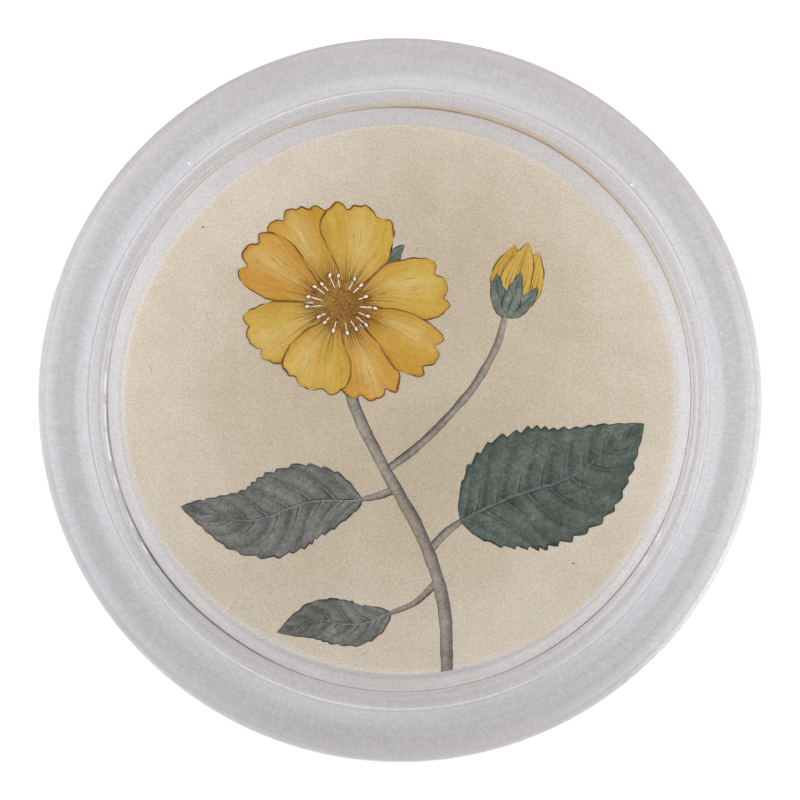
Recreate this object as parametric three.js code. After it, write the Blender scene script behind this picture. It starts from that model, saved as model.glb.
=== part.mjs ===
// A round coaster of clear pressed glass, with a print sealed under its floor.
//
// A drinking glass stands on the flat round seat. A narrow bead and a broad rolled rim run round
// the seat and keep it there. The underside of the glass is flat. The print is glued to it, face
// up, so that it shows through the glass. A white sheet covers the print from behind, and a felt
// pad covers both and carries the coaster, so that the glass stands just clear of the table.
//
// Units are millimetres and +Z is up. The origin is the centre of the underside, at the table.

import * as THREE from "three";

// Driving dimensions, in millimetres.
const OUTER_RADIUS = 55.0; // a coaster 110 mm across
const TOTAL_HEIGHT = 9.0; // table to the crest of the rim
const SEAT_HEIGHT = 6.0; // table to the seat

const CREST_RADIUS = 50.9; // where the rolled rim is highest
const ROLL_INNER_SECTION = 5.0; // radius of the roll's section, from its crest in to the valley
const ROLL_OUTER_SECTION = 4.1; // and from its crest out to the widest point
const BEAD_CREST_RADIUS = 45.55; // where the narrow bead inside the roll is highest
const BEAD_TOP = 7.55; // table to the bead's crest
const BEAD_INNER_SECTION = 1.0; // radius of the bead's section, from its crest in to the wall
const BEAD_OUTER_SECTION = 3.0; // and from its crest out to the valley
const WALL_SLOPE = 68; // degrees above level of the wall between the seat and the bead
const SEAT_FILLET = 0.45; // between the seat and the wall
const SIDE_TAPER = 0.5; // how far the outer side leans in on its way down
const FOOT_FILLET = 1.3; // between the outer side and the flat underside

const PRINT_THICKNESS = 0.12;
const PRINT_LENGTH = 84.8; // the print is cut by hand, slightly oval
const PRINT_WIDTH = 83.8;
const PRINT_TURN = -8; // degrees from +X to the oval's long axis
const SCISSOR_WAVE = 0.1; // height of the three slow waves that scissors leave in its edge
const SCISSOR_TURN = -46; // degrees from +X to the first of them
const SHEET_THICKNESS = 0.2;
const SHEET_RADIUS = 44.6;
const PAD_THICKNESS = 0.6;
const PAD_RADIUS = 45.0;
const PAD_EDGE = 0.2; // soft rounding of the felt's edges

// How finely round shapes are divided.
const TURN_STEPS = 96; // round the axis
const OUTLINE_STEPS = 96; // round a hand-cut outline

// Heights that follow from the driving dimensions.
const SHEET_TOP = PAD_THICKNESS + SHEET_THICKNESS;
const GLASS_UNDERSIDE = SHEET_TOP + PRINT_THICKNESS;

// Points of a circular arc in the radius-height plane. Angles are in degrees, 0 pointing outwards
// and 90 pointing up.
function arc(centreRadius, centreHeight, radius, fromAngle, toAngle, steps) {
  const points = [];
  for (let i = 0; i <= steps; i++) {
    const angle = THREE.MathUtils.degToRad(THREE.MathUtils.lerp(fromAngle, toAngle, i / steps));
    points.push(new THREE.Vector2(
      centreRadius + radius * Math.cos(angle),
      centreHeight + radius * Math.sin(angle),
    ));
  }
  return points;
}

// Where the bead's outer slope meets the roll, in the valley between them: the upper crossing of
// the two circles.
function valley() {
  const bead = new THREE.Vector2(BEAD_CREST_RADIUS, BEAD_TOP - BEAD_OUTER_SECTION);
  const roll = new THREE.Vector2(CREST_RADIUS, TOTAL_HEIGHT - ROLL_INNER_SECTION);
  const between = roll.clone().sub(bead);
  const distance = between.length();
  const along = (BEAD_OUTER_SECTION ** 2 - ROLL_INNER_SECTION ** 2 + distance ** 2) / (2 * distance);
  const aside = Math.sqrt(BEAD_OUTER_SECTION ** 2 - along ** 2);
  const unit = between.divideScalar(distance);
  return new THREE.Vector2(
    bead.x + unit.x * along - unit.y * aside,
    bead.y + unit.y * along + unit.x * aside,
  );
}

// The angle, in degrees, at which a point lies from a centre.
function angleFrom(centreRadius, centreHeight, point) {
  return THREE.MathUtils.radToDeg(Math.atan2(point.y - centreHeight, point.x - centreRadius));
}

// The top of the glass, from the axis out to the valley: the seat, its fillet, the sloping wall
// and the bead.
function seatAndBead(meeting) {
  const innerCentre = BEAD_TOP - BEAD_INNER_SECTION;
  const outerCentre = BEAD_TOP - BEAD_OUTER_SECTION;
  const beadEnd = angleFrom(BEAD_CREST_RADIUS, outerCentre, meeting);
  const crown = arc(BEAD_CREST_RADIUS, innerCentre, BEAD_INNER_SECTION, 90 + WALL_SLOPE, 90, 6);
  const fillet = arc(0, SEAT_HEIGHT + SEAT_FILLET, SEAT_FILLET, -90, WALL_SLOPE - 90, 4);
  const filletEnd = fillet[fillet.length - 1];
  const rise = crown[0].y - filletEnd.y;
  const wallFoot = crown[0].x - rise / Math.tan(THREE.MathUtils.degToRad(WALL_SLOPE));
  const inwards = wallFoot - filletEnd.x;
  return [
    new THREE.Vector2(0, SEAT_HEIGHT),
    ...fillet.map((point) => new THREE.Vector2(point.x + inwards, point.y)),
    ...crown,
    ...arc(BEAD_CREST_RADIUS, outerCentre, BEAD_OUTER_SECTION, 90, beadEnd, 4).slice(1),
  ];
}

// The rolled rim, from the valley over the crest to the widest point.
function rolledRim(meeting) {
  const innerCentre = TOTAL_HEIGHT - ROLL_INNER_SECTION;
  const outerCentre = TOTAL_HEIGHT - ROLL_OUTER_SECTION;
  const rollStart = angleFrom(CREST_RADIUS, innerCentre, meeting);
  return [
    ...arc(CREST_RADIUS, innerCentre, ROLL_INNER_SECTION, rollStart, 90, 6).slice(1),
    ...arc(CREST_RADIUS, outerCentre, ROLL_OUTER_SECTION, 90, 0, 10).slice(1),
  ];
}

// The outer side's foot and the flat underside, in to the axis.
function footAndUnderside() {
  const footRadius = OUTER_RADIUS - SIDE_TAPER - FOOT_FILLET;
  return [
    ...arc(footRadius, GLASS_UNDERSIDE + FOOT_FILLET, FOOT_FILLET, 0, -90, 4),
    new THREE.Vector2(0, GLASS_UNDERSIDE),
  ];
}

// A solid of revolution about +Z, from a section that runs over the top and back underneath.
function turned(section) {
  const geometry = new THREE.LatheGeometry([...section].reverse(), TURN_STEPS);
  return geometry.rotateX(Math.PI / 2);
}

function glassBody() {
  const meeting = valley();
  return turned([...seatAndBead(meeting), ...rolledRim(meeting), ...footAndUnderside()]);
}

// A flat sheet with a hand-cut outline, given as its radius at each angle, lying with its
// underside at z = 0.
function cutSheet(radiusAt, thickness) {
  const outline = new THREE.Shape();
  for (let i = 0; i < OUTLINE_STEPS; i++) {
    const angle = (2 * Math.PI * i) / OUTLINE_STEPS;
    const x = radiusAt(angle) * Math.cos(angle);
    const y = radiusAt(angle) * Math.sin(angle);
    if (i === 0) outline.moveTo(x, y);
    else outline.lineTo(x, y);
  }
  outline.closePath();
  return new THREE.ExtrudeGeometry(outline, { depth: thickness, bevelEnabled: false });
}

// The print's outline: an oval with the slow waves that scissors leave.
function printRadius(angle) {
  const fromLongAxis = angle - THREE.MathUtils.degToRad(PRINT_TURN);
  const oval = 1 / Math.hypot(
    Math.cos(fromLongAxis) / (PRINT_LENGTH / 2),
    Math.sin(fromLongAxis) / (PRINT_WIDTH / 2),
  );
  return oval + SCISSOR_WAVE * Math.cos(3 * (angle - THREE.MathUtils.degToRad(SCISSOR_TURN)));
}

// The white sheet's outline: a circle that was cut by hand as well.
function sheetRadius(angle) {
  return SHEET_RADIUS + 0.1 * Math.sin(4 * angle + 1.3) + 0.06 * Math.sin(9 * angle);
}

// The felt pad: a disc with soft edges.
function feltPad() {
  const inset = PAD_RADIUS - PAD_EDGE;
  return turned([
    new THREE.Vector2(0, PAD_THICKNESS),
    ...arc(inset, PAD_THICKNESS - PAD_EDGE, PAD_EDGE, 90, 0, 3),
    ...arc(inset, PAD_EDGE, PAD_EDGE, 0, -90, 3),
    new THREE.Vector2(0, 0),
  ]);
}

const clearGlass = new THREE.MeshStandardMaterial({
  color: 0xe9eaee,
  roughness: 0.04,
  metalness: 0,
  transparent: true,
  opacity: 0.35,
});
const creamPaper = new THREE.MeshStandardMaterial({ color: 0xd9ccb2, roughness: 0.85, metalness: 0 });
const whiteCard = new THREE.MeshStandardMaterial({ color: 0xe4e2e1, roughness: 0.9, metalness: 0 });
const brownFelt = new THREE.MeshStandardMaterial({ color: 0x6f6250, roughness: 1, metalness: 0 });

// One named piece, lying at a height.
function piece(name, geometry, material, height = 0) {
  const mesh = new THREE.Mesh(geometry, material);
  mesh.name = name;
  mesh.position.z = height;
  return mesh;
}

const coaster = new THREE.Group();
coaster.add(
  piece("glass_body", glassBody(), clearGlass),
  piece("printed_paper", cutSheet(printRadius, PRINT_THICKNESS), creamPaper, SHEET_TOP),
  piece("backing_sheet", cutSheet(sheetRadius, SHEET_THICKNESS), whiteCard, PAD_THICKNESS),
  piece("felt_pad", feltPad(), brownFelt),
);

export default coaster;
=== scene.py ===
"""A pressed-glass coaster with a floral print sealed under its seat, dressed for its picture.

Blender works in metres. The glass sections and the print are drawn in millimetres, in the part's
own frame, and are turned into metres where their meshes are made.
"""

import math

import bpy
import numpy as np
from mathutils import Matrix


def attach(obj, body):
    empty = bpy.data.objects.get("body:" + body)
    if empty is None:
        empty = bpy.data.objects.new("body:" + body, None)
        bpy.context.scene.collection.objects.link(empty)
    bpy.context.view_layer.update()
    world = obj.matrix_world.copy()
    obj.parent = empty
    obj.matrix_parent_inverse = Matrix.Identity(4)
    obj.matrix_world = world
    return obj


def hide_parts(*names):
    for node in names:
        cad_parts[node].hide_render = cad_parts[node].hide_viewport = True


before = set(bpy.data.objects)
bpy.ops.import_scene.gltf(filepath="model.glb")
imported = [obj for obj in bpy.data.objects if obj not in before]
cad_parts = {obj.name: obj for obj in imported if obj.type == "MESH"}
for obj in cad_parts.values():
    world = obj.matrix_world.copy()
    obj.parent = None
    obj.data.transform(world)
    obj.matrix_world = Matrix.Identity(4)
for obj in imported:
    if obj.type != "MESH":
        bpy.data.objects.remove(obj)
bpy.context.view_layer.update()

MM = 0.001

# The coaster's dimensions, in millimetres and degrees, as in the part's own source.
OUTER_RADIUS = 55.0
TOTAL_HEIGHT = 9.0
SEAT_HEIGHT = 6.0
CREST_RADIUS = 50.9
ROLL_INNER_SECTION = 5.0
ROLL_OUTER_SECTION = 4.1
BEAD_CREST_RADIUS = 45.55
BEAD_TOP = 7.55
BEAD_INNER_SECTION = 1.0
BEAD_OUTER_SECTION = 3.0
WALL_SLOPE = 68
SEAT_FILLET = 0.45
SIDE_TAPER = 0.5
FOOT_FILLET = 1.3
PAD_TOP = 0.6
SHEET_TOP = PAD_TOP + 0.2
GLASS_UNDERSIDE = SHEET_TOP + 0.12
PRINT_LENGTH = 84.8
PRINT_WIDTH = 83.8
PRINT_TURN = -8  # degrees from +X to the oval's long axis
SCISSOR_WAVE = 0.1
SCISSOR_TURN = -46  # degrees from +X to the first of the edge's three waves
SHEET_RADIUS = 44.6
PAD_RADIUS = 45.0
PAD_EDGE = 0.2

# The print is glued to the glass, so its face lies just inside the glass's underside.
PAPER_FACE = GLASS_UNDERSIDE + 0.01
LAYER = 0.01  # how far each painted layer lies above the one before
STROKE_STEP = 0.05  # strokes on one layer lie this share of a layer apart, so that they may cross
STROKE_LEVELS = 15  # after so many strokes the next one starts low again

TURN_STEPS = 384  # round the axis
SHOULDER_STEPS = 36  # from the rim's crest out to the widest point


# ---- Curves and small random variation ----


def ripple(values, seed, frequency):
    """A smooth random curve between about -1 and 1, the same each time for the same seed."""
    rng = np.random.default_rng(seed)
    total = np.zeros_like(np.asarray(values, dtype=float))
    for octave in range(4):
        turns = frequency * 1.9**octave * rng.uniform(0.8, 1.2)
        total += 0.55**octave * np.sin(2 * np.pi * (turns * values + rng.uniform()))
    return total / 1.7


def bell(values, middle, width):
    """1 at the middle, falling smoothly to 0 on both sides."""
    return np.exp(-(((values - middle) / width) ** 2))


def around(degrees, middle, width):
    """The same on a circle: 1 at the middle's direction, falling to 0 on both sides."""
    return bell((degrees - middle) % 360 - 360 * ((degrees - middle) % 360 > 180), 0, width)


def round_rim(degrees, *bells):
    """A curve round the circle: a sum of bells, each given as (height, direction, width)."""
    return sum(height * around(degrees, middle, width) for height, middle, width in bells)


def trail(values, start, reach):
    """1 at the start, falling away sharply before it and slowly beyond it."""
    return np.where(values < start, bell(values, start, 0.10), np.exp(-(values - start) / reach))


def polar(radius, angle):
    """Points at a radius and an angle in radians."""
    return np.stack((radius * np.cos(angle), radius * np.sin(angle)), axis=-1)


def arc(centre_radius, centre_height, radius, start, end, steps):
    """Points of an arc in the radius-height plane. 0 degrees points outwards and 90 up."""
    angles = np.radians(np.linspace(start, end, steps + 1))
    return polar(radius, angles) + (centre_radius, centre_height)


def spline(knots, count):
    """count points along a smooth curve through the knots."""
    knots = np.asarray(knots, dtype=float)
    before = 2 * knots[0] - knots[1]
    after = 2 * knots[-1] - knots[-2]
    padded = np.vstack((before, knots, after))
    place = np.linspace(0, len(knots) - 1, count)
    first = np.minimum(place.astype(int), len(knots) - 2)
    t = (place - first)[:, None]
    a, b, c, d = (padded[first + i] for i in range(4))
    return 0.5 * (
        2 * b + (c - a) * t + (2 * a - 5 * b + 4 * c - d) * t**2 + (3 * b - a - 3 * c + d) * t**3
    )


def normals(points):
    """Unit normals to the left of a line of points."""
    run = np.gradient(points, axis=0)
    left = np.column_stack((-run[:, 1], run[:, 0]))
    return left / np.linalg.norm(left, axis=1)[:, None]


def distances(points):
    """How far along a line of points each of them lies."""
    return np.concatenate(([0.0], np.cumsum(np.linalg.norm(np.diff(points, axis=0), axis=1))))


def points_at(places, gone, points):
    """What lies at some places along a line whose own points lie at the distances gone."""
    return np.stack([np.interp(places, gone, column) for column in points.T], axis=-1)


def respaced(points, step):
    """The same line with points about one step apart."""
    gone = distances(points)
    return points_at(np.linspace(0, gone[-1], max(4, int(gone[-1] / step) + 1)), gone, points)


# ---- Meshes ----


def placed(name, data):
    """An object in the scene, made from a mesh, a camera or a light."""
    obj = bpy.data.objects.new(name, data)
    bpy.context.scene.collection.objects.link(obj)
    return obj


def add_object(name, vertices_mm, faces, smooth=True):
    """A mesh object from vertices in millimetres."""
    mesh = bpy.data.meshes.new(name)
    mesh.from_pydata((np.asarray(vertices_mm) * MM).tolist(), [], faces)
    mesh.polygons.foreach_set("use_smooth", [smooth] * len(mesh.polygons))
    mesh.update()
    return placed(name, mesh)


def closed(sheet, top, bottom):
    """Vertices and faces of a closed solid from rings of points, with a pole at each end."""
    rings, steps = sheet.shape[:2]
    vertices = np.vstack((sheet.reshape(-1, 3), [(0, 0, top), (0, 0, bottom)]))
    pole = rings * steps
    here = np.arange(pole).reshape(rings, steps)
    after = np.roll(here, -1, axis=1)
    quads = np.stack((here[1:], after[1:], after[:-1], here[:-1]), axis=-1)
    at_top = np.column_stack((np.full(steps, pole), here[0], after[0]))
    at_bottom = np.column_stack((np.full(steps, pole + 1), after[-1], here[-1]))
    fans = np.stack((at_top, at_bottom), axis=1)
    return vertices, quads.reshape(-1, 4).tolist() + fans.reshape(-1, 3).tolist()


def turned(section, steps, shift=None):
    """Vertices and faces of a closed solid of revolution.

    The section's (radius, height) points run from the top at the axis, over the outside, to the
    bottom at the axis. shift(radius, height, angle) returns what to add to radius and height.
    """
    angles = np.linspace(0, 2 * np.pi, steps, endpoint=False)
    rings = section[1:-1]
    radius, angle = np.meshgrid(rings[:, 0], angles, indexing="ij")
    height = np.broadcast_to(rings[:, 1:2], radius.shape)
    if shift is not None:
        outwards, upwards = shift(radius, height, angle)
        radius = radius + outwards
        height = height + upwards
    return closed(np.dstack((polar(radius, angle), height)), section[0, 1], section[-1, 1])


# ---- Materials ----


def colour(red, green, blue):
    """A linear colour from the 0 to 255 values that a picture shows."""
    values = []
    for value in (red, green, blue):
        share = value / 255
        values.append(share / 12.92 if share <= 0.04045 else ((share + 0.055) / 1.055) ** 2.4)
    return (*values, 1.0)


class Look:
    """The nodes of a material or a world. An input is a plain value or another node's output."""

    def __init__(self, name, kind="materials"):
        self.owner = getattr(bpy.data, kind).new(name)
        self.owner.use_nodes = True
        self.tree = self.owner.node_tree
        self.tree.nodes.clear()

    def add(self, kind, inputs=None, **settings):
        node = self.tree.nodes.new(kind)
        for key, value in settings.items():
            setattr(node, key, value)
        for key, value in (inputs or {}).items():
            if isinstance(value, bpy.types.NodeSocket):
                self.tree.links.new(value, node.inputs[key])
            else:
                node.inputs[key].default_value = value
        return node

    def math(self, operation, a, b=0.0, clamp=False):
        node = self.add("ShaderNodeMath", {0: a, 1: b}, operation=operation, use_clamp=clamp)
        return node.outputs[0]

    def times(self, a, b):
        return self.math("MULTIPLY", a, b)

    def total(self, *terms):
        """The sum of terms, each an output or a pair of an output and its weight."""
        result = None
        for term in terms:
            if isinstance(term, tuple):
                term = self.times(*term)
            result = term if result is None else self.math("ADD", result, term)
        return result

    def point(self):
        return self.add("ShaderNodeTexCoord").outputs["Object"]

    def attribute(self, name):
        return self.add("ShaderNodeAttribute", attribute_name=name).outputs["Vector"]

    def number(self, name):
        return self.add("ShaderNodeAttribute", attribute_name=name).outputs["Fac"]

    def split(self, vector):
        return self.add("ShaderNodeSeparateXYZ", {0: vector}).outputs

    def stretched(self, vector, scale):
        return self.add("ShaderNodeVectorMath", {0: vector, 1: scale}, operation="MULTIPLY").outputs[0]

    def noise(self, vector, scale, detail=2.0, roughness=0.5):
        """Noise that lies evenly round 0, from about -0.5 to 0.5."""
        inputs = {"Vector": vector, "Scale": scale, "Detail": detail, "Roughness": roughness}
        return self.math("SUBTRACT", self.add("ShaderNodeTexNoise", inputs).outputs[0], 0.5)

    def span(self, value, low, high, to_low=0.0, to_high=1.0):
        """value carried from one range to another, and held at its ends."""
        inputs = {0: value, 1: low, 2: high, 3: to_low, 4: to_high}
        return self.add("ShaderNodeMapRange", inputs, interpolation_type="SMOOTHSTEP").outputs[0]

    def mix(self, share, first, second, blend="MIX"):
        inputs = {0: share, 6: first, 7: second}
        return self.add("ShaderNodeMix", inputs, data_type="RGBA", blend_type=blend).outputs[2]

    def tinted(self, tone, tint, share=1.0):
        return self.mix(share, tone, tint, "MULTIPLY")

    def window(self, x, y, level, azimuth, brightness):
        """A broad window in the direction of an azimuth, in degrees."""
        a = math.radians(azimuth)
        towards = self.total((x, math.cos(a)), (y, math.sin(a)))
        return self.span(self.math("DIVIDE", towards, level), 0.35, 0.98, 0.0, brightness)

    def bump(self, height, distance_mm, strength=1.0):
        inputs = {"Height": height, "Distance": distance_mm * MM, "Strength": strength}
        return self.add("ShaderNodeBump", inputs).outputs[0]

    def surface(self, **sockets):
        """A Principled surface. Socket names are written with _ for each space."""
        inputs = {name.replace("_", " "): value for name, value in sockets.items()}
        return self.add("ShaderNodeBsdfPrincipled", inputs).outputs[0]

    def done(self, surface):
        self.add("ShaderNodeOutputMaterial", {"Surface": surface})
        return self.owner


def dress(obj, material, node=None):
    """Gives a piece its material and its body, and hides the CAD node that it stands for, if any."""
    obj.data.materials.append(material)
    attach(obj, "root")
    if node is not None:
        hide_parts(node)


# ---- The glass ----


def seat_and_bead():
    """The flat seat, its fillet, the sloping wall and the bead up to its crest."""
    crown = arc(
        BEAD_CREST_RADIUS, BEAD_TOP - BEAD_INNER_SECTION, BEAD_INNER_SECTION, 90 + WALL_SLOPE, 90, 18
    )
    fillet = arc(0, SEAT_HEIGHT + SEAT_FILLET, SEAT_FILLET, -90, WALL_SLOPE - 90, 8)
    rise = crown[0, 1] - fillet[-1, 1]
    wall_foot = crown[0, 0] - rise / math.tan(math.radians(WALL_SLOPE))
    fillet[:, 0] += wall_foot - fillet[-1, 0]
    flat = np.array([(r, SEAT_HEIGHT) for r in (0, 8, 16, 24, 32, 38, 41, 43)])
    return np.vstack((flat, fillet, 0.5 * (fillet[-1:] + crown[:1]), crown))


def valley_and_roll():
    """From the bead's crest through the valley to the roll's crest, with the valley eased."""
    ease = 0.05
    roll_start = 46.2  # nearer in, the bead alone gives the height
    radius = np.linspace(BEAD_CREST_RADIUS, CREST_RADIUS, 110)[1:]
    roll_reach = ROLL_INNER_SECTION**2 - (radius - CREST_RADIUS) ** 2
    bead_reach = BEAD_OUTER_SECTION**2 - (radius - BEAD_CREST_RADIUS) ** 2
    roll = TOTAL_HEIGHT - ROLL_INNER_SECTION + np.sqrt(np.clip(roll_reach, 0, None))
    bead = BEAD_TOP - BEAD_OUTER_SECTION + np.sqrt(np.clip(bead_reach, 0, None))
    roll = np.where(radius > roll_start, roll, 0)
    height = ease * np.logaddexp(bead / ease, roll / ease)
    return np.column_stack((radius, np.minimum(height, TOTAL_HEIGHT)))


def outer_side():
    """From the roll's crest down the outer side and back along the flat underside."""
    crest = TOTAL_HEIGHT - ROLL_OUTER_SECTION
    shoulder = arc(CREST_RADIUS, crest, ROLL_OUTER_SECTION, 90, 0, SHOULDER_STEPS)
    foot = arc(
        OUTER_RADIUS - SIDE_TAPER - FOOT_FILLET, GLASS_UNDERSIDE + FOOT_FILLET, FOOT_FILLET, 0, -90, 12
    )
    underside = np.array([(r, GLASS_UNDERSIDE) for r in (52.0, 49, 45, 40, 30, 15, 0)])
    return np.vstack((shoulder[1:], foot, underside))


def waves(angle, *terms):
    """A sum of cosines round the circle, each given as (crests, height, turn in radians)."""
    return sum(height * np.cos(crests * angle - turn) for crests, height, turn in terms)


def foot_wave(angle):
    """How far outside its drawn place the foot of the seat's wall lies, round the rim."""
    slow = waves(angle, (1, 0.30, 1.99), (2, 0.09, 2.03), (3, 0.14, 1.76), (4, 0.08, 2.40), (5, 0.10, -1.39))
    dents = round_rim(np.degrees(angle), (-0.15, 46, 24), (-0.10, 130, 18), (-0.10, 234, 14))
    return 0.27 + slow + dents


# Radii where the casting's waves are widest.
FOOT, VALLEY, CREST = 44.3, 47.0, 51.0


def casting_waves(radius, height, angle):
    """The small waves that pressing leaves: the bead and its valley wander in and out."""
    valley_wave = waves(angle, (1, 0.11, 2.86), (3, 0.06, 2.77)) - 0.16
    valley_wave = valley_wave + 0.45 * bell(np.degrees(angle), 45, 24)
    crest_wave = 0.12 * np.sin(2 * angle + 0.5) + 0.08 * np.sin(5 * angle)
    upper = np.clip((height - 3.0) / 2.0, 0, 1)
    outwards = upper * (
        foot_wave(angle) * bell(radius, FOOT, 0.8)
        + valley_wave * bell(radius, VALLEY, 1.1)
        + crest_wave * bell(radius, CREST, 1.6)
    )
    return outwards, np.zeros_like(outwards)


def glass_section():
    return np.vstack((seat_and_bead(), valley_and_roll(), outer_side()))


# Radii of the lines that the painted light and shade follow.
SEAT_LINE = 44.14
CREASE_LINE = 46.98

# How strong the painted shade is along the seat's edge: (degrees round the rim, strength).
SEAT_SHADE = (
    (0, 0.0), (15, 0.35), (30, 0.90), (45, 0.90), (60, 1.10), (75, 1.15), (90, 1.0), (105, 0.35),
    (120, 0.15), (150, 0.0), (165, 0.15), (180, 0.95), (195, 1.10), (210, 1.40), (225, 1.35), (240, 1.40),
    (253, 0.05), (287, 0.0), (300, 0.95), (315, 1.0), (330, 0.80), (345, 0.0), (360, 0.0),
)


def paint_light_on_glass(obj, vertex_count):
    """Marks the painted light and shade on the glass: highlights, glints, sheen and dark lines.

    Each is an attribute of the mesh, strongest on its line and different in strength round it.
    """
    section = glass_section()[1:-1]
    radius, angle = np.meshgrid(section[:, 0], ring_angles(), indexing="ij")
    height = np.broadcast_to(section[:, 1:2], radius.shape)
    turn = angle / (2 * np.pi)
    degrees = np.degrees(angle)

    def rim(*bells):
        return round_rim(degrees, *bells)

    def line(middle, width):
        return bell(radius, middle, width)

    # Painted shade: how dark the line along the seat's edge is, round the rim.
    painted_shade = np.interp(degrees, *zip(*SEAT_SHADE)) * (1 + 0.25 * ripple(turn, 41, 9))
    broken = np.clip(0.55 + 0.9 * ripple(turn, 51, 45), 0, 1)
    # Painted glints: white flecks by the seat's edge that catch the lamps.
    painted_glints = rim((1.30, 183, 13), (0.45, 329, 11), (0.50, 209, 9))
    # Painted shade on the bead just outside the seat's edge, and how brown the painted shades are.
    bead_shade_strength = 0.40 + rim((1.0, 60, 42), (0.5, 112, 34), (0.85, 222, 20), (0.25, 325, 16), (0.35, 272, 20))
    bead_shade_patches = rim((0.50, 226, 18), (0.25, 75, 35))
    brown = 0.50 + rim((0.5, 80, 60), (0.2, 140, 28), (0.3, 5, 32), (0.15, 280, 28), (-0.5, 212, 40))
    # Painted highlight along the crease: its strength round the rim.
    crease_highlight_strength = 0.85 + 0.35 * ripple(turn, 31, 3) + rim((0.35, 180, 22), (0.12, 276, 26))
    # Painted sheen: the glass turns partly white to catch the lamps on the bead, the roll and the shoulder.
    bead_side = rim((0.20, 347, 36), (0.19, 192, 28), (0.07, 238, 18), (0.05, 95, 32))
    roll_side = rim((0.09, 252, 30), (0.13, 88, 36), (0.04, 190, 20), (0.06, 348, 25))
    shoulder = rim((0.95, 328, 18), (0.32, 2, 18), (0.20, 174, 26), (0.28, 240, 18))
    painted_sheen = (
        line(SEAT_LINE + 0.06, 0.18) * rim((0.10, 270, 16))
        + line(46.1, 0.50) * bead_side
        + line(CREASE_LINE - 0.03, 0.35) * rim((0.10, 262, 35))
        + line(48.2, 1.3) * roll_side
        + line(51.4, 1.3) * rim((0.04, 0, 22), (0.04, 104, 34))
        + line(54.0, 0.4) * rim((0.10, 178, 24))
        + line(54.5, 0.5) * shoulder * (height > 5.5)
    )
    # Painted shade on the outer slope, kept clear on some sides.
    clear_side = rim((0.9, 0, 22), (0.8, 172, 34), (1.0, 330, 20), (0.5, 90, 45))
    shade = 0.8 + 0.5 * ripple(turn, 37, 3) + rim((0.5, 138, 26), (1.2, 197, 13))
    second = rim((0.5, 205, 20))
    # Each attribute carries painted light or shade, except brown, the painted shade's hue, and bead, a
    # roughness.
    for name, values in (
        ("crease_line", line(CREASE_LINE, 0.13) * crease_highlight_strength),
        ("shaded", line(CREASE_LINE + 0.29, 0.10) * shade),
        ("side_shade", np.clip(rim((1.2, 94, 54)), 0, 0.72) * np.clip((radius - 54.0) / 0.7, 0, 1)),
        ("seat_edge", (line(SEAT_LINE, 0.16) + second * line(SEAT_LINE + 0.18, 0.10)) * painted_shade),
        ("painted_glints", line(SEAT_LINE + 0.36, 0.14) * painted_glints * broken),
        ("bead_shade", trail(radius, SEAT_LINE + 0.01, 0.60) * bead_shade_strength + line(45.1, 0.5) * bead_shade_patches),
        ("brown", brown),
        ("painted_sheen", painted_sheen),
        ("outer", (0.5 - 0.5 * clear_side) * np.clip((radius - 51.3) / 2.2, 0, 1)),
        ("bead", line(45.10, 0.45)),
    ):
        padded = np.zeros(vertex_count)
        padded[: values.size] = (np.clip(values, 0, 1.6) * (height > 3.0)).ravel()
        mark(obj, name, padded)


def mark(obj, name, values):
    """A number or a vector at each vertex, for the material to read."""
    values = np.asarray(values, dtype=float)
    kind, key = ("FLOAT", "value") if values.ndim == 1 else ("FLOAT_VECTOR", "vector")
    attribute = obj.data.attributes.new(name, kind, "POINT")
    attribute.data.foreach_set(key, values.ravel())


# Tints of the glass, where white is 1. The last two are the light that a shadow keeps where it
# crosses the glass's top or side, and its underside.
WHITE = (1.0, 1.0, 1.0, 1.0)
DARK_GRAIN = (0.83, 0.83, 0.84, 1.0)
THROUGH_TOP = (0.90, 0.89, 0.895, 1.0)
THROUGH_UNDERSIDE = (0.513, 0.499, 0.505, 1.0)


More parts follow.
